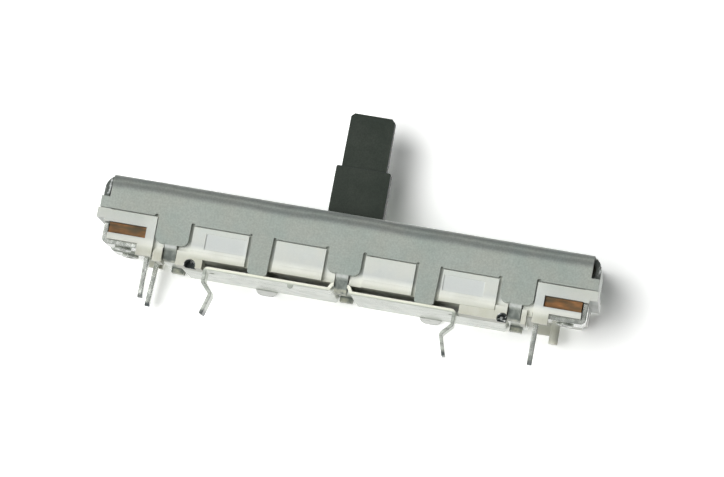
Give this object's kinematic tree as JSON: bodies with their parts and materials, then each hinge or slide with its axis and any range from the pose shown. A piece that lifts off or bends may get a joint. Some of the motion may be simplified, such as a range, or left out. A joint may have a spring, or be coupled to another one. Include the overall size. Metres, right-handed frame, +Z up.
{
  "type": "slide potentiometer",
  "caption": "Slide potentiometer with a folded steel cover, white case, bright base plate with snap-in legs, board pins and a flat black lever.",
  "frame": {"origin": "on the face of the circuit board, under the middle of the body", "axes": "+X along the travel, towards the end with one pin; +Z up along the lever; -Y is the side with the snap-in legs"},
  "size_m": [0.045, 0.009, 0.0205],
  "materials": {
    "zinc_steel": "matte zinc plate",
    "tinned_steel": "bright tin plate",
    "white_moulding": "moulded, slightly see-through",
    "black_moulding": "moulded, fine grain",
    "phenolic": "punched laminate",
    "carbon_ink": "printed",
    "silver_ink": "printed",
    "spring_bronze": "rolled strip",
    "spring_steel": "rolled strip"
  },
  "bodies": {
    "housing": {"cover": "zinc_steel", "case": "white_moulding", "base_plate": "tinned_steel", "element_board": "phenolic", "resistive_track": "carbon_ink", "collector_track": "silver_ink", "silver_end_left": "silver_ink", "silver_end_right": "silver_ink", "silver_lead_collector": "silver_ink", "terminal_left_near": "tinned_steel", "terminal_left_far": "tinned_steel", "terminal_right": "tinned_steel", "terminal_eyelets": "tinned_steel"},
    "slider": {"lever": "black_moulding", "wiper": "spring_bronze", "tension_spring_left": "spring_steel", "tension_spring_right": "spring_steel"}
  },
  "joints": [
    {"name": "lever_slide", "type": "slide", "parent": "housing", "child": "slider", "axis": [1, 0, 0], "range_m": [-0.0148, 0.0152]}
  ]
}
